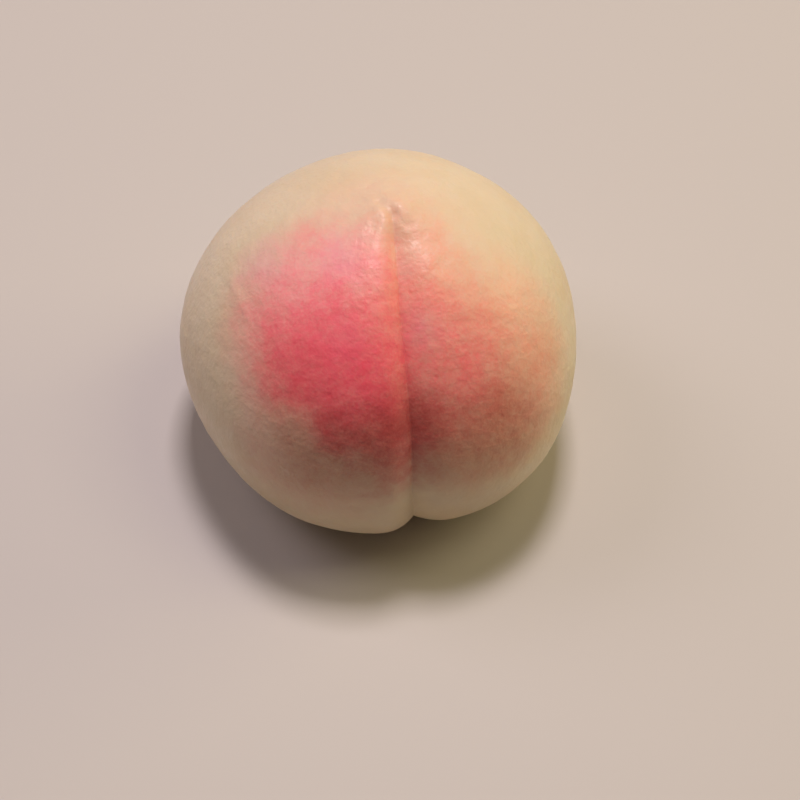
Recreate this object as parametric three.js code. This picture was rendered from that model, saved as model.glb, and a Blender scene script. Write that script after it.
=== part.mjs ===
// A longevity peach bun: one soft steamed bun, pressed with a crease from its small pinched tip
// down the front to the ground, so that it looks like a ripe peach.
// Millimetres, +Z up. The crease faces -Y, and the origin lies on the ground under the bun's middle.

import * as THREE from 'three';
import { mergeVertices } from 'three/addons/utils/BufferGeometryUtils.js';

// The dough ball. Below its widest level it curves in and is pressed flat by its own weight.
const WIDTH = 78;
const DEPTH = 78;
const WIDEST_LEVEL = 24;
const DOME_RISE = 38;
const BELLY_DROP = 33;
const FOOT_ROUNDING = 2;

// Slow waves round the girth, as shaping by hand leaves them: how many there are in one turn,
// how high they stand, and the angle from the crease to the first crest, towards +X.
const GIRTH_WAVES = [
  { count: 2, height: 0.2, crestAngle: -103 },
  { count: 3, height: 0.14, crestAngle: 3 },
  { count: 4, height: 0.16, crestAngle: -39 },
  { count: 5, height: 0.53, crestAngle: 40 },
];

// The pinched tip, a low soft peak that stands a little behind and beside the middle of the top.
const TIP_HEIGHT = 2.2;
const TIP_SPREAD = 7;
const TIP_SIDE_OFFSET = 1;
const TIP_BACK_OFFSET = 1.4;

// The crease. Angles along it count from straight up, over the front, down to the ground, and its
// sizes are given at three stations: the tip, the front and the foot.
const TIP_TO_FRONT = { from: -5, to: 40 };
const FRONT_TO_FOOT = { from: 80, to: 125 };
const CREASE_STARTS = { from: -8, to: 10 };
const CREASE_ENDS = { from: 150, to: 175 };

// Its section is a narrow groove along the bottom of a wide shallow valley. Both have two rounded
// cheeks that meet in one bottom line: a short one at the left, towards -X, and a long one at the
// right. The power says how round a cheek is.
const VALLEY_DEPTH = { tip: 0.4, front: 1.5, foot: 1.2 };
const VALLEY_LEFT = { tip: 5, front: 9, foot: 7.8 };
const VALLEY_RIGHT = { tip: 11, front: 16, foot: 29 };
const GROOVE_DEPTH = { tip: 0.8, front: 1.1, foot: 1.7 };
const GROOVE_LEFT = { tip: 2.8, front: 4.2, foot: 5.6 };
const GROOVE_RIGHT = { tip: 6.5, front: 7, foot: 8.6 };
const CHEEK_POWER = 2;

// The crease wanders: to +X at the tip, straighter over the front, and to +X again near the ground.
const CREASE_SHIFT = { tip: 1.5, front: 0.3, foot: 1.8 };
const SHIFT_REACH = 16;

// The mesh: steps along each edge of a cube grid that is blown up to a ball, and how much closer
// its columns stand beside the crease than they would in an even grid.
const GRID_STEPS = 28;
const CREASE_COLUMN_SPACING = 0.3;
const MERGE_DISTANCE = 1e-4;

const DOUGH_COLOUR = 0xe9cba6;
const DOUGH_ROUGHNESS = 0.45;

const { clamp, degToRad, radToDeg, smoothstep } = THREE.MathUtils;

// How far a value is through a range, from 0 to 1, easing in and out.
function through(value, range) {
  return smoothstep(value, range.from, range.to);
}

// A size of the crease at an angle along it.
function atStation(size, along) {
  return size.tip
    + (size.front - size.tip) * through(along, TIP_TO_FRONT)
    + (size.foot - size.front) * through(along, FRONT_TO_FOOT);
}

// A point of the cube grid as a direction from the ball's middle, with columns even in angle
// and closer together beside the crease plane X = 0.
function gridDirection(point) {
  const share = CREASE_COLUMN_SPACING + (1 - CREASE_COLUMN_SPACING) * Math.abs(point.x);
  const even = (value) => Math.tan((value * Math.PI) / 4);
  return new THREE.Vector3(even(point.x * share), even(point.y), even(point.z)).normalize();
}

// How far the girth swells or sinks in a direction, as a factor on the distance from the axis.
function girthFactor(direction) {
  const angle = Math.atan2(direction.x, -direction.y);
  const nearWaist = 1 - direction.z * direction.z;
  let swell = 0;
  for (const wave of GIRTH_WAVES) {
    swell += wave.height * Math.cos(wave.count * (angle - degToRad(wave.crestAngle)));
  }
  return 1 + (swell / (WIDTH / 2)) * nearWaist;
}

// The ball's half height above or below its widest level.
function halfHeight(direction) {
  return direction.z > 0 ? DOME_RISE : BELLY_DROP;
}

function ballPoint(direction) {
  const factor = girthFactor(direction);
  return new THREE.Vector3(
    (WIDTH / 2) * direction.x * factor,
    (DEPTH / 2) * direction.y * factor,
    WIDEST_LEVEL + halfHeight(direction) * direction.z,
  );
}

function ballNormal(direction) {
  return new THREE.Vector3(
    direction.x / (WIDTH / 2),
    direction.y / (DEPTH / 2),
    direction.z / halfHeight(direction),
  ).normalize();
}

function raiseTip(point) {
  const distance = Math.hypot(point.x - TIP_SIDE_OFFSET, point.y - TIP_BACK_OFFSET);
  point.z += TIP_HEIGHT * (1 + (distance / TIP_SPREAD) ** 2) ** -1.5;
}

// A hollow's section across the crease plane X = 0, from 0 at its edges to 1 at its bottom line.
function hollow(x, left, right) {
  const width = x < 0 ? left : right;
  return clamp(1 - Math.abs(x) / width, 0, 1) ** CHEEK_POWER;
}

// How deep the crease is pressed, at a distance from its plane and an angle along it.
function creaseDepth(x, along) {
  const valley = hollow(x, atStation(VALLEY_LEFT, along), atStation(VALLEY_RIGHT, along));
  const groove = hollow(x, atStation(GROOVE_LEFT, along), atStation(GROOVE_RIGHT, along));
  const ends = through(along, CREASE_STARTS) * (1 - through(along, CREASE_ENDS));
  return ends * (atStation(VALLEY_DEPTH, along) * valley + atStation(GROOVE_DEPTH, along) * groove);
}

// Presses the crease into the dough along the ball's normal.
function pressCrease(point, direction, along) {
  point.addScaledVector(ballNormal(direction), -creaseDepth(point.x, along));
}

function bendCrease(point, along) {
  const nearPlane = Math.exp(-((point.x / SHIFT_REACH) ** 2));
  point.x += atStation(CREASE_SHIFT, along) * nearPlane;
}

// Presses what would lie below the ground flat, and rounds the edge of the flat underside.
function flattenFoot(point) {
  if (point.z < -FOOT_ROUNDING) {
    point.z = 0;
  } else if (point.z < FOOT_ROUNDING) {
    point.z = (point.z + FOOT_ROUNDING) ** 2 / (4 * FOOT_ROUNDING);
  }
}

function bunPoint(direction) {
  const point = ballPoint(direction);
  const along = radToDeg(Math.atan2(-direction.y, direction.z));
  if (direction.z > 0) {
    raiseTip(point);
  }
  pressCrease(point, direction, along);
  bendCrease(point, along);
  flattenFoot(point);
  return point;
}

function bunGeometry() {
  const cube = new THREE.BoxGeometry(2, 2, 2, GRID_STEPS, GRID_STEPS, GRID_STEPS);
  cube.deleteAttribute('normal');
  cube.deleteAttribute('uv');
  const geometry = mergeVertices(cube, MERGE_DISTANCE);
  const places = geometry.getAttribute('position');
  const corner = new THREE.Vector3();
  for (let i = 0; i < places.count; i += 1) {
    corner.fromBufferAttribute(places, i);
    const point = bunPoint(gridDirection(corner));
    places.setXYZ(i, point.x, point.y, point.z);
  }
  geometry.computeBoundingBox();
  const middle = geometry.boundingBox.getCenter(new THREE.Vector3());
  geometry.translate(-middle.x, -middle.y, 0);
  geometry.computeVertexNormals();
  return geometry;
}

function bun() {
  const dough = new THREE.MeshStandardMaterial({
    color: DOUGH_COLOUR,
    roughness: DOUGH_ROUGHNESS,
    metalness: 0,
  });
  const mesh = new THREE.Mesh(bunGeometry(), dough);
  mesh.name = 'bun';
  return mesh;
}

const peachBun = new THREE.Group();
peachBun.add(bun());

export default peachBun;
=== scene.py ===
import math

import bpy
import numpy as np
from mathutils import Matrix, Vector, noise


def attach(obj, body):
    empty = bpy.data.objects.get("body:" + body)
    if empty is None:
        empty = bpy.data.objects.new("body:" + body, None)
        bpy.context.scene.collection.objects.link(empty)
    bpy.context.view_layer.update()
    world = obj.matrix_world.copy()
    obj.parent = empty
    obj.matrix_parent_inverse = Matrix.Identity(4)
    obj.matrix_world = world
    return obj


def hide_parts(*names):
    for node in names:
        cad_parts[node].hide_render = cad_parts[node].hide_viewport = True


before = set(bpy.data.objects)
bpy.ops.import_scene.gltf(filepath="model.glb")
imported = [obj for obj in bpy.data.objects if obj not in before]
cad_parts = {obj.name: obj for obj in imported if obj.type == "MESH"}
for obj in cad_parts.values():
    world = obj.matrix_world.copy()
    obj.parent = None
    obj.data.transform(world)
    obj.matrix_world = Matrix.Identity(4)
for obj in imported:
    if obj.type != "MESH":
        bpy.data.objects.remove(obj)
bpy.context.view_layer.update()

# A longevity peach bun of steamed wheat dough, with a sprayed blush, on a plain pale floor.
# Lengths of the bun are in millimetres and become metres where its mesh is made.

MM = 0.001

# The dough ball, widest below its middle and pressed flat underneath.
WIDTH = 78.0
DEPTH = 78.0
WIDEST_LEVEL = 24.0
DOME_RISE = 38.0
BELLY_DROP = 33.0
FOOT_ROUNDING = 2.0

# Slow waves round the girth: how many in one turn, their height, and the angle to the first crest.
GIRTH_WAVES = [
    (2, 0.2, -103.0),
    (3, 0.14, 3.0),
    (4, 0.16, -39.0),
    (5, 0.53, 40.0),
]

# The pinched tip, a low soft peak that stands a little behind and beside the middle of the top. The
# falloff is the power by which it sinks towards its sides.
TIP_HEIGHT = 2.2
TIP_SPREAD = 7.0
TIP_FALLOFF = 1.5
TIP_SIDE_OFFSET = 1.0
TIP_BACK_OFFSET = 1.4

# The crease, which faces -Y: a narrow groove along the bottom of a wide shallow valley. Angles along
# it count in degrees from straight up, over the front. Its sizes are given at the tip, at the front
# and at the foot. The left side is the one towards -X. The power says how round the sides are.
TIP_TO_FRONT = (-5.0, 40.0)
FRONT_TO_FOOT = (80.0, 125.0)
VALLEY_DEPTH = (0.4, 1.5, 1.2)
VALLEY_LEFT = (5.0, 9.0, 7.8)
VALLEY_RIGHT = (11.0, 16.0, 29.0)
GROOVE_DEPTH = (0.8, 1.1, 1.7)
GROOVE_LEFT = (2.8, 4.2, 5.6)
GROOVE_RIGHT = (6.5, 7.0, 8.6)
CHEEK_POWER = 2.0
CREASE_SHIFT = (1.5, 0.3, 1.8)
SHIFT_REACH = 16.0
CREASE_STARTS = (-8.0, 10.0)
CREASE_ENDS = (150.0, 175.0)

# The skin's relief in millimetres: the width of its lumps, their height, and where in the noise
# they are taken from, so that no two layers are alike.
SKIN_LUMPS = [
    (17.0, 0.17, (3.0, 8.0, 1.0)),
    (6.5, 0.09, (9.0, 2.0, 7.0)),
    (2.6, 0.065, (5.0, 4.0, 6.0)),
]

# The finest lumps stand higher round the tip: how many times as high, and how far out this reaches.
FINEST_AT_TIP = 1.8
FINEST_REACH = 30.0

# The pinch that closes the bun at its tip: small folds that run out from it, in a ring round it. The
# folds wander sideways, in radians of their wave, and are uneven in height. Both come from noise,
# each with its strength, the width of its lumps, and where in the noise it is taken.
FOLD_COUNT = 9
FOLD_HEIGHT = 0.06
FOLD_RING = (1.5, 4.0, 12.0)
FOLD_WANDER = (1.6, 7.0, (1.0, 5.0, 2.0))
FOLD_UNEVENNESS = (1.3, 9.0, (6.0, 1.0, 3.0))

# Strokes in the skin, seen from above: their two ends, their half width, and their height, which is a
# depth where it is negative. The first is the slanting slit at the tip. The others are faint ridges
# on the left shoulder.
STROKES = [
    ((-0.3, 2.8), (1.7, -0.4), 0.9, -0.42),
    ((-28.3, -0.6), (-26.3, -9.6), 0.6, 0.11),
    ((-23.9, -1.3), (-23.0, -2.6), 0.6, 0.12),
]

# Knuckles of dough beside the slit: their places seen from above, radius and height.
KNUCKLES = [
    (-1.9, 0.9, 2.2, 0.18),
    (4.2, 1.0, 3.0, 0.18),
]

# Small pores in the underside, where it was peeled off its paper: how wide and deep they are, the
# noise above which one begins, how much more noise there is at its full depth, and where in the noise
# they are taken from. They are only in what is flat, up to a level in millimetres.
PORE_WIDTH = 1.7
PORE_DEPTH = 0.22
PORE_START = 0.25
PORE_EDGE = 0.3
PORE_PLACE = (2.0, 7.0, 5.0)
FLAT_LEVEL = 0.001

# The fine mesh: steps along each edge of the cube grid, and the columns' closeness at the crease.
GRID_STEPS = 124
CREASE_COLUMN_SPACING = 0.35


def smoothstep(value, low, high):
    """Goes from 0 to 1 while the value goes from low to high, easing in and out."""
    share = np.clip((value - low) / (high - low), 0.0, 1.0)
    return share * share * (3.0 - 2.0 * share)


def at_station(sizes, along):
    """A size of the crease at the angles along it, from its sizes at the tip, front and foot."""
    tip, front, foot = sizes
    return (tip + (front - tip) * smoothstep(along, *TIP_TO_FRONT)
            + (foot - front) * smoothstep(along, *FRONT_TO_FOOT))


def hollow(x, left, right):
    """A hollow's section across the crease plane X = 0, from 0 at its edges to 1 at its bottom."""
    width = np.where(x < 0.0, left, right)
    return np.clip(1.0 - np.abs(x) / width, 0.0, 1.0) ** CHEEK_POWER


def crease_depth(x, along):
    """How deep the crease is pressed, at distances from its plane and angles along it."""
    valley = hollow(x, at_station(VALLEY_LEFT, along), at_station(VALLEY_RIGHT, along))
    groove = hollow(x, at_station(GROOVE_LEFT, along), at_station(GROOVE_RIGHT, along))
    ends = smoothstep(along, *CREASE_STARTS) * (1.0 - smoothstep(along, *CREASE_ENDS))
    depth = at_station(VALLEY_DEPTH, along) * valley + at_station(GROOVE_DEPTH, along) * groove
    return depth * ends


def cube_grid(steps):
    """Corner points of a cube's surface grid, from -1 to 1, and its outward quads."""
    side = steps + 1
    count = np.arange(side)
    first, second = [axis.ravel() for axis in np.meshgrid(count, count, indexing="ij")]
    corners, quads = [], []
    for axis in range(3):
        for end in (0, steps):
            place = np.zeros((side * side, 3), dtype=np.int64)
            place[:, axis] = end
            place[:, (axis + 1) % 3] = first
            place[:, (axis + 2) % 3] = second
            start = len(corners) * side * side
            cell = (count[:-1, None] * side + count[None, :-1]).ravel() + start
            ring = np.stack([cell, cell + side, cell + side + 1, cell + 1], axis=1)
            quads.append(ring if end else ring[:, ::-1])
            corners.append(place)
    corners = np.concatenate(corners)
    keys = (corners[:, 0] * side + corners[:, 1]) * side + corners[:, 2]
    _, kept, shared = np.unique(keys, return_index=True, return_inverse=True)
    return corners[kept] * (2.0 / steps) - 1.0, shared[np.concatenate(quads)]


def unit(vectors):
    return vectors / np.linalg.norm(vectors, axis=1, keepdims=True)


def grid_directions(places):
    """The grid as directions from the ball's middle, closer together beside the crease."""
    x, y, z = places.T
    x = x * (CREASE_COLUMN_SPACING + (1.0 - CREASE_COLUMN_SPACING) * np.abs(x))
    return unit(np.tan(np.stack([x, y, z], axis=1) * (math.pi / 4.0)))


def away_from(point, side, back):
    """How far points are from a place, seen from above."""
    return np.hypot(point[:, 0] - side, point[:, 1] - back)


def bun_surface(directions):
    """The bun's surface without its fine relief, as the frame's solid has it, in millimetres."""
    dx, dy, dz = directions.T
    turn = np.arctan2(dx, -dy)
    swell = sum(height * np.cos(count * (turn - math.radians(crest)))
                for count, height, crest in GIRTH_WAVES)
    girth = 1.0 + swell / (WIDTH / 2.0) * (1.0 - dz * dz)
    half_height = np.where(dz > 0.0, DOME_RISE, BELLY_DROP)
    point = np.stack([WIDTH / 2.0 * dx * girth, DEPTH / 2.0 * dy * girth,
                      WIDEST_LEVEL + half_height * dz], axis=1)
    normal = unit(np.stack([dx / (WIDTH / 2.0), dy / (DEPTH / 2.0), dz / half_height], axis=1))

    from_tip = away_from(point, TIP_SIDE_OFFSET, TIP_BACK_OFFSET)
    tip = TIP_HEIGHT * (1.0 + (from_tip / TIP_SPREAD) ** 2) ** -TIP_FALLOFF
    point[:, 2] += np.where(dz > 0.0, tip, 0.0)

    along = np.degrees(np.arctan2(-dy, dz))
    point -= normal * crease_depth(point[:, 0], along)[:, None]
    point[:, 0] += at_station(CREASE_SHIFT, along) * np.exp(-(point[:, 0] / SHIFT_REACH) ** 2)
    return point, normal


def flatten_foot(height):
    """Presses what would lie below the ground flat, and rounds the edge of the underside."""
    rounded = (height + FOOT_ROUNDING) ** 2 / (4.0 * FOOT_ROUNDING)
    return np.where(height > FOOT_ROUNDING, height,
                    np.where(height < -FOOT_ROUNDING, 0.0, rounded))


def noise_at(points, width, offset):
    """Smooth noise from about -1 to 1, with lumps of a width, at points in millimetres."""
    places = points / width + np.array(offset)
    return np.array([noise.noise(Vector(place)) for place in places.tolist()])


def levelled(point):
    """The points without their height, for noise that is the same all the way up."""
    return point * [1.0, 1.0, 0.0]


def skin_relief(point):
    """Height of the soft lumps. The finest stand higher round the tip."""
    from_tip = away_from(point, TIP_SIDE_OFFSET, TIP_BACK_OFFSET)
    near_tip = np.where(point[:, 2] > WIDEST_LEVEL, np.exp(-(from_tip / FINEST_REACH) ** 2), 0.0)
    height = sum(tall * noise_at(point, width, offset) for width, tall, offset in SKIN_LUMPS)
    width, tall, offset = SKIN_LUMPS[-1]
    return height + (FINEST_AT_TIP - 1.0) * near_tip * tall * noise_at(point, width, offset)


def pinch_folds(point):
    """Height of the small folds that run out from the tip."""
    side = point[:, 0] - TIP_SIDE_OFFSET
    back = point[:, 1] - TIP_BACK_OFFSET
    inner, crest, outer = FOLD_RING
    away = np.hypot(side, back)
    ring = smoothstep(away, inner, crest) * (1.0 - smoothstep(away, crest, outer))
    wander, unevenness = [strength * noise_at(levelled(point), width, offset)
                          for strength, width, offset in (FOLD_WANDER, FOLD_UNEVENNESS)]
    wave = np.cos(FOLD_COUNT * np.arctan2(side, back) + wander)
    return FOLD_HEIGHT * ring * (1.0 + unevenness) * wave


def stroke(point, start, end, half_width):
    """1 along a straight stroke, seen from above, falling softly to 0 beside it."""
    start, end = np.array(start), np.array(end)
    run = end - start
    share = np.clip(((point[:, :2] - start) @ run) / (run @ run), 0.0, 1.0)
    beside = np.linalg.norm(point[:, :2] - start - share[:, None] * run, axis=1)
    return np.exp(-(beside / half_width) ** 2)


def top_relief(point):
    """Height of the folds, strokes and knuckles, which are all on the bun's upper side."""
    height = pinch_folds(point)
    for start, end, half_width, tall in STROKES:
        height += tall * stroke(point, start, end, half_width)
    for side, back, radius, tall in KNUCKLES:
        height += tall * np.exp(-(away_from(point, side, back) / radius) ** 2)
    return np.where(point[:, 2] > WIDEST_LEVEL, height, 0.0)


def pore_depth(point):
    """How far the pores of the flat underside go up into the dough."""
    pores = noise_at(levelled(point), PORE_WIDTH, PORE_PLACE)
    depth = PORE_DEPTH * smoothstep(pores, PORE_START, PORE_START + PORE_EDGE)
    return np.where(point[:, 2] < FLAT_LEVEL, depth, 0.0)


def bun_mesh():
    """The whole bun with its relief, in metres, over the middle of the ground."""
    places, quads = cube_grid(GRID_STEPS)
    point, normal = bun_surface(grid_directions(places))
    point += normal * (skin_relief(point) + top_relief(point))[:, None]
    point[:, 2] = flatten_foot(point[:, 2])
    point[:, 2] += pore_depth(point)
    low, high = point.min(axis=0), point.max(axis=0)
    point[:, :2] -= (low[:2] + high[:2]) / 2.0
    mesh = bpy.data.meshes.new("bun_dough")
    mesh.from_pydata((point * MM).tolist(), [], quads.tolist())
    mesh.polygons.foreach_set("use_smooth", [True] * len(mesh.polygons))
    mesh.update()
    return mesh


# The dough's skin wanders between a pale and a deep colour. The underside has a colour of its own.
DOUGH_PALE = (0.745, 0.607, 0.423)
DOUGH_DEEP = (0.727, 0.570, 0.377)
UNDERSIDE_DOUGH = (0.736, 0.607, 0.414)

# The blush, with painted shade and painted sheen laid on it like dyes. Its layers are laid on one
# after the other. Each has its colour and its sprays: where a spray is aimed (the turn from the
# crease towards +X and the angle from the top, in degrees), the radius to the middle of its soft edge
# and half the width of that edge, in millimetres, and how much dye it leaves.
DYES_SHADE_AND_SHEEN = [
    # Pale pink: painted sheen, the cool light that the moist skin reflects on the upper left lobe
    ((0.93, 0.42, 0.55), [
        (-60.0, 30.0, 10.0, 8.0, 0.25),
        (-38.0, 17.0, 6.0, 5.0, 0.25),
    ]),
    # Coral
    ((0.975, 0.155, 0.105), [
        (8.0, 16.0, 9.0, 5.0, 0.34),
        (28.0, 52.0, 18.3, 9.7, 0.57),
        (-28.0, 8.0, 14.4, 8.0, 0.16),
    ]),
    # Crimson
    ((0.97, 0.08, 0.14), [
        (-26.0, 64.0, 18.6, 5.0, 0.14),
        (-31.0, 43.0, 9.5, 7.0, 1.30),
        (-44.0, 36.0, 15.2, 8.5, 0.74),
        (8.0, 45.0, 12.2, 8.4, 0.66),
        (-11.0, 58.0, 4.2, 8.4, 1.60),
        (-23.0, 61.0, 4.0, 3.0, 0.65),
        (-4.0, 74.0, 3.0, 4.0, 0.50),
        (-2.5, 66.0, 2.5, 4.0, 0.65),
        (-22.0, 18.0, 2.5, 4.5, 0.14),
    ]),
    # Maroon: a deeper dye in the crease, and painted shade in the dark band under the blush, along
    # the crease and on the lower left.
    ((0.37, 0.055, 0.035), [
        (-26.0, 67.0, 5.0, 10.0, 0.75),
        (27.0, 69.0, 8.6, 6.6, 0.52),
        (-4.0, 66.0, 8.0, 7.7, 0.95),
        (4.0, 57.0, 2.5, 4.5, 0.62),
        (-21.0, 62.0, 3.0, 4.5, 0.42),
        (-40.0, 54.0, 8.0, 7.0, 0.14),
        (-42.0, 77.0, 9.0, 8.0, 0.14),
        (-13.0, 60.0, 2.0, 3.5, 0.24),
        (10.0, 79.0, 3.0, 4.5, 0.08),
    ]),
    # Faint lilac: painted highlight, the cool gloss of the skin beside the crease, near the tip and
    # on the left lobe
    ((0.72, 0.50, 0.54), [
        (-85.0, 36.0, 3.0, 4.5, 0.22),
        (-46.0, 17.0, 4.0, 4.0, 0.20),
        (10.0, 34.0, 2.5, 5.0, 0.17),
        (13.0, 17.0, 1.5, 3.0, 0.10),
        (-26.0, 36.0, 3.5, 4.0, 0.08),
    ]),
]

# Small pits in the skin, where gas bubbles broke: how far apart their places are, the share of the
# places that have one, their radius, the share of it that is level, their depth and how much more dye
# they hold. Lengths are in millimetres.
PIT_SPACING = 2.4
PIT_SHARE = 0.4
PIT_RADIUS = 0.6
PIT_BOTTOM = 0.3
PIT_DEPTH = 0.03
PIT_DYE = 0.25

# How the skin varies over its surface. A layer of noise has its lumps to a millimetre, its detail,
# and the two values that it runs between, which it reaches at the two ends of the noise's band. The
# dye's layers are factors on how thick it lies, and the grain is a height in millimetres.
NOISE_BAND = (0.3, 0.7)
NOISE_MIDDLE = 0.5
DOUGH_PATCHES = (0.07, 2.0, 0.0, 1.0)
DYE_MOTTLES = [
    (0.16, 2.0, 0.85, 1.15),
    (0.5, 2.0, 0.85, 1.15),
    (1.9, 2.0, 0.87, 1.13),
]
ROUGHNESS_PATCHES = (0.3, 4.0, 0.38, 0.52)
GRAIN = (0.8, 2.0, 0.0, 0.05)

# The sprays' edges are uneven, because noise moves them. It has its lumps to a millimetre, its
# detail and how far it can move an edge from one side to the other, in millimetres.
EDGE_SHIFT = (0.22, 1.0, 5.0)

# The underside's look passes into the skin's between these two heights, in millimetres. It is rougher
# than the skin by this much.
UNDERSIDE_LEVELS = (0.2, 1.6)
UNDERSIDE_ROUGHNESS = 0.25

# How the skin shines, and how far light goes into it.
SKIN_SHADER = {
    "IOR": 1.42,
    "Coat Weight": 0.12,
    "Coat Roughness": 0.26,
    "Coat IOR": 1.4,
    "Subsurface Weight": 0.2,
    "Subsurface Radius": (1.0, 0.55, 0.3),
    "Subsurface Scale": 2.5 * MM,
}


class Nodes:
    """Adds shader nodes to a material and links them. An input is a value or another output."""

    def __init__(self, material):
        self.tree = material.node_tree

    def add(self, kind, inputs, **settings):
        node = self.tree.nodes.new(kind)
        for name, value in settings.items():
            setattr(node, name, value)
        for key, value in inputs.items():
            if isinstance(value, bpy.types.NodeSocket):
                self.tree.links.new(value, node.inputs[key])
            else:
                node.inputs[key].default_value = value
        return node

    def math(self, operation, *values):
        inputs = dict(enumerate(values))
        return self.add("ShaderNodeMath", inputs, operation=operation).outputs[0]

    def ramp(self, value, low, high, first, last):
        """Goes smoothly from first to last while the value goes from low to high."""
        inputs = {"Value": value, "From Min": low, "From Max": high, "To Min": first, "To Max": last}
        node = self.add("ShaderNodeMapRange", inputs, interpolation_type="SMOOTHSTEP")
        return node.outputs["Result"]

    def varied(self, place, lumps, detail, low, high):
        """A value that wanders between low and high, with so many lumps to a millimetre."""
        clouds = self.add("ShaderNodeTexNoise", {"Vector": place, "Scale": lumps, "Detail": detail})
        return self.ramp(clouds.outputs["Fac"], *NOISE_BAND, low, high)

    def mix(self, share, first, second):
        """The first colour, or the second where the share is 1."""
        node = self.tree.nodes.new("ShaderNodeMix")
        node.data_type = "RGBA"
        sockets = [socket for socket in node.inputs if socket.type == "RGBA"]
        for socket, colour in zip(sockets, (first, second)):
            if isinstance(colour, tuple):
                socket.default_value = (*colour, 1.0)
            else:
                self.tree.links.new(colour, socket)
        self.tree.links.new(share, node.inputs["Factor"])
        return next(socket for socket in node.outputs if socket.type == "RGBA")


def surface_place(turn, from_top):
    """The point of the bun, in millimetres, at a turn from the crease and an angle from the top."""
    turn, from_top = math.radians(turn), math.radians(from_top)
    direction = np.array([[math.sin(from_top) * math.sin(turn),
                           -math.sin(from_top) * math.cos(turn), math.cos(from_top)]])
    return tuple(bun_surface(direction)[0][0].tolist())


def layer_coverage(nodes, place, sprays, unevenness):
    """How much of the skin a layer covers, from 0 to 1, where its sprays overlap: a dye, painted
    shade or painted sheen.
    """
    amount = 0.0
    for turn, from_top, radius, softness, dye in sprays:
        aim = surface_place(turn, from_top)
        away = nodes.add("ShaderNodeVectorMath", {0: place, 1: aim}, operation="DISTANCE")
        spot = nodes.ramp(away.outputs["Value"], radius - softness, radius + softness, dye, 0.0)
        amount = nodes.math("ADD", spot, amount)
    uneven = nodes.math("MULTIPLY", amount, unevenness)
    bare = nodes.math("EXPONENT", nodes.math("MULTIPLY", uneven, -1.0))
    return nodes.math("SUBTRACT", 1.0, bare)


def shifted_place(nodes, place):
    """The place, moved a little by noise."""
    lumps, detail, strength = EDGE_SHIFT
    clouds = nodes.add("ShaderNodeTexNoise", {"Vector": place, "Scale": lumps, "Detail": detail})
    inputs = {0: clouds.outputs["Color"], 1: (NOISE_MIDDLE,) * 3}
    shift = nodes.add("ShaderNodeVectorMath", inputs, operation="SUBTRACT").outputs["Vector"]
    inputs = {0: shift, 1: (strength,) * 3, 2: place}
    return nodes.add("ShaderNodeVectorMath", inputs, operation="MULTIPLY_ADD").outputs["Vector"]


def dye_unevenness(nodes, place, pit):
    """A factor near 1 that mottles the dye, painted shade and painted sheen. The pits hold more of
    them.
    """
    factor = 1.0
    for layer in DYE_MOTTLES:
        factor = nodes.math("MULTIPLY", nodes.varied(place, *layer), factor)
    return nodes.math("ADD", factor, nodes.math("MULTIPLY", pit, PIT_DYE))


def pits(nodes, place):
    """From 0 on the skin to 1 at the bottom of a pit."""
    cells = nodes.add("ShaderNodeTexVoronoi", {"Vector": place, "Scale": 1.0 / PIT_SPACING})
    chance = nodes.add("ShaderNodeSeparateColor", {"Color": cells.outputs["Color"]}).outputs["Red"]
    radius = PIT_RADIUS / PIT_SPACING
    bowl = nodes.ramp(cells.outputs["Distance"], PIT_BOTTOM * radius, radius, 1.0, 0.0)
    return nodes.math("MULTIPLY", bowl, nodes.math("LESS_THAN", chance, PIT_SHARE))


def dyed_skin_with_painted_light(nodes, place, underside, pit):
    """The skin's colour: the dough, and over it the dyes, the painted shade and the painted sheen."""
    skin = nodes.mix(nodes.varied(place, *DOUGH_PATCHES), DOUGH_PALE, DOUGH_DEEP)
    skin = nodes.mix(underside, skin, UNDERSIDE_DOUGH)
    unevenness = dye_unevenness(nodes, place, pit)
    shifted = shifted_place(nodes, place)
    # The maroon layer is partly painted shade; the pale pink and faint lilac layers are painted
    # sheen.
    for colour, sprays in DYES_SHADE_AND_SHEEN:
        skin = nodes.mix(layer_coverage(nodes, shifted, sprays, unevenness), skin, colour)
    return skin


def dough_material():
    material = bpy.data.materials.new("steamed_dough")
    material.use_nodes = True
    nodes = Nodes(material)
    shader = material.node_tree.nodes["Principled BSDF"]
    metres = nodes.add("ShaderNodeTexCoord", {}).outputs["Object"]
    place = nodes.add("ShaderNodeVectorMath", {0: metres, "Scale": 1.0 / MM},
                      operation="SCALE").outputs["Vector"]
    height = nodes.add("ShaderNodeSeparateXYZ", {"Vector": place}).outputs["Z"]
    underside = nodes.ramp(height, *UNDERSIDE_LEVELS, 1.0, 0.0)
    pit = pits(nodes, place)

    skin = dyed_skin_with_painted_light(nodes, place, underside, pit)
    roughness = nodes.math("ADD", nodes.varied(place, *ROUGHNESS_PATCHES),
                           nodes.math("MULTIPLY", underside, UNDERSIDE_ROUGHNESS))
    relief = nodes.math("SUBTRACT", nodes.varied(place, *GRAIN),
                        nodes.math("MULTIPLY", pit, PIT_DEPTH))
    bump = nodes.add("ShaderNodeBump", {"Height": relief, "Strength": 1.0, "Distance": MM})
    layers = {"Base Color": skin, "Roughness": roughness, "Normal": bump.outputs["Normal"]}
    for name, output in layers.items():
        material.node_tree.links.new(output, shader.inputs[name])
    for name, value in SKIN_SHADER.items():
        shader.inputs[name].default_value = value
    return material


def make_bun():
    bun = bpy.data.objects.new("bun_body", bun_mesh())
    bpy.context.scene.collection.objects.link(bun)
    bun.data.materials.append(dough_material())
    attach(bun, "root")
    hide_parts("bun")


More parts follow.
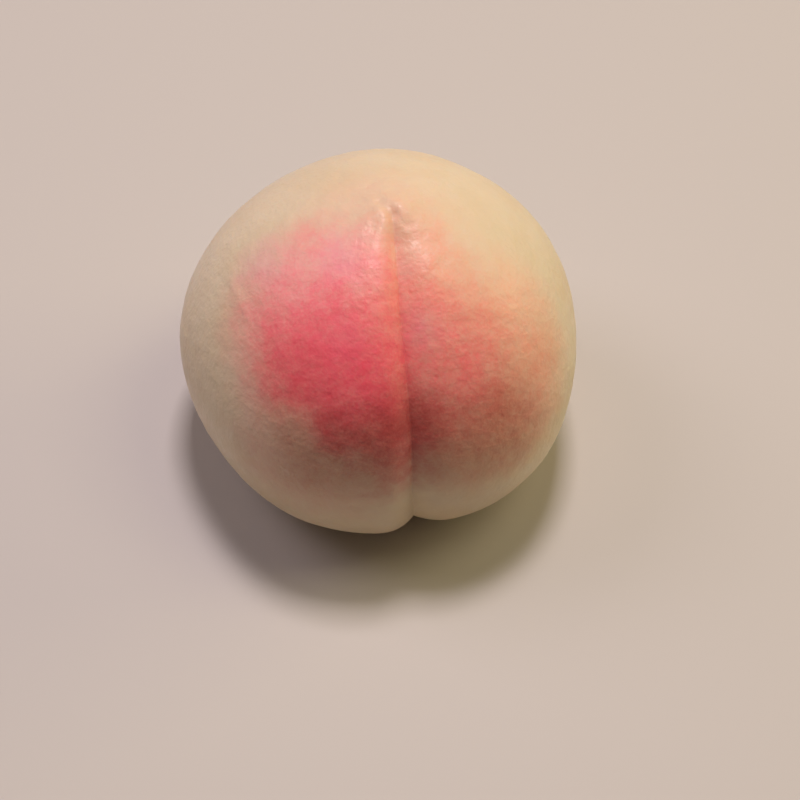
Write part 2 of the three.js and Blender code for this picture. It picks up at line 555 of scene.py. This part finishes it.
# The view. The photograph is 800 by 800 pixels, and the middle of the bun falls on BUN_PIXEL. The
# camera stands to the front left of the bun, looks down at it and leans a little to one side.
IMAGE_SIDE = 800.0
BUN_PIXEL = (380.8, 343.0)
PIXELS_PER_METRE = 5030.0
CAMERA_AZIMUTH = math.radians(-9.7)
CAMERA_ELEVATION = math.radians(53.0)
CAMERA_ROLL = math.radians(2.2)
CAMERA_DISTANCE = 0.330
NEAREST_SEEN = 0.01
SENSOR_WIDTH = 36.0
BUN_MIDDLE = Vector((0.0, 0.0, WIDEST_LEVEL * MM))
UP = Vector((0.0, 0.0, 1.0))


def away_from_bun(azimuth, elevation):
    """The direction out of the bun at an azimuth, 0 in front and 90 degrees at the right."""
    return Vector((math.sin(azimuth) * math.cos(elevation),
                   -math.cos(azimuth) * math.cos(elevation), math.sin(elevation)))


def rolled_axes(back):
    """The camera's right and up when it looks against back with its roll."""
    level = UP.cross(back).normalized()
    roll = Matrix.Rotation(CAMERA_ROLL, 3, back)
    return roll @ level, roll @ back.cross(level)


def make_camera():
    """Aims beside the bun, so that the bun's middle falls on its pixel without a lens shift."""
    back = away_from_bun(CAMERA_AZIMUTH, CAMERA_ELEVATION)
    place = BUN_MIDDLE + back * CAMERA_DISTANCE
    right, up = rolled_axes(back)
    aside = (BUN_PIXEL[0] - IMAGE_SIDE / 2.0) / PIXELS_PER_METRE
    above = (IMAGE_SIDE / 2.0 - BUN_PIXEL[1]) / PIXELS_PER_METRE
    aim = BUN_MIDDLE - right * aside - up * above
    back = (place - aim).normalized()
    right, up = rolled_axes(back)
    camera_data = bpy.data.cameras.new("camera")
    camera_data.sensor_width = SENSOR_WIDTH
    camera_data.lens = PIXELS_PER_METRE * CAMERA_DISTANCE * SENSOR_WIDTH / IMAGE_SIDE
    camera_data.clip_start = NEAREST_SEEN
    camera = bpy.data.objects.new("camera", camera_data)
    camera.matrix_world = (Matrix.Translation(place)
                           @ Matrix((right, up, back)).transposed().to_4x4())
    bpy.context.scene.collection.objects.link(camera)
    bpy.context.scene.camera = camera


# The floor lies a hair under the bun, so that its face isn't in one plane with the underside.
FLOOR_SIDE = 6.0
FLOOR_LEVEL = -0.02 * MM
FLOOR_COLOUR = (0.56, 0.515, 0.475, 1.0)
FLOOR_ROUGHNESS = 0.6


def make_floor():
    mesh = bpy.data.meshes.new("floor")
    out = FLOOR_SIDE / 2.0
    plan = [(-out, -out), (out, -out), (out, out), (-out, out)]
    mesh.from_pydata([(x, y, FLOOR_LEVEL) for x, y in plan], [], [(0, 1, 2, 3)])
    floor = bpy.data.objects.new("floor", mesh)
    bpy.context.scene.collection.objects.link(floor)
    material = bpy.data.materials.new("pale_floor")
    material.use_nodes = True
    shader = material.node_tree.nodes["Principled BSDF"]
    shader.inputs["Base Color"].default_value = FLOOR_COLOUR
    shader.inputs["Roughness"].default_value = FLOOR_ROUGHNESS
    mesh.materials.append(material)


# The studio lamps, and how many metres they are from the bun's middle. Each lamp has its name, its
# azimuth and elevation in degrees, its side in metres, its watts and its colour.
LAMP_DISTANCE = 1.0
LAMPS = [
    ("key", 165.0, 75.0, 0.2, 6.3, (1.0, 0.90, 0.94)),
    ("right_fill", 90.0, 62.0, 0.4, 1.9, (1.0, 0.89, 0.57)),
    ("left_fill", -117.0, 47.0, 0.5, 2.35, (1.0, 0.89, 1.0)),
    ("right_low", 100.0, 20.0, 0.5, 2.55, (1.0, 0.89, 0.45)),
]

# The room's dim warm light, which comes from all round.
ROOM_COLOUR = (1.0, 0.85, 0.70, 1.0)
ROOM_STRENGTH = 0.08


def make_lamp(name, azimuth, elevation, side, watts, colour):
    """A square lamp that shines at the bun."""
    lamp = bpy.data.lights.new(name, "AREA")
    lamp.size = side
    lamp.energy = watts
    lamp.color = colour
    light = bpy.data.objects.new(name, lamp)
    away = away_from_bun(math.radians(azimuth), math.radians(elevation))
    light.location = BUN_MIDDLE + away * LAMP_DISTANCE
    light.rotation_euler = away.to_track_quat("Z", "Y").to_euler()
    bpy.context.scene.collection.objects.link(light)


def make_lights():
    """The lamps and the room's own light."""
    for lamp in LAMPS:
        make_lamp(*lamp)
    world = bpy.data.worlds.new("studio")
    world.use_nodes = True
    background = world.node_tree.nodes["Background"]
    background.inputs["Color"].default_value = ROOM_COLOUR
    background.inputs["Strength"].default_value = ROOM_STRENGTH
    bpy.context.scene.world = world


make_camera()
make_bun()
make_floor()
make_lights()
bpy.context.scene.view_settings.view_transform = "Standard"
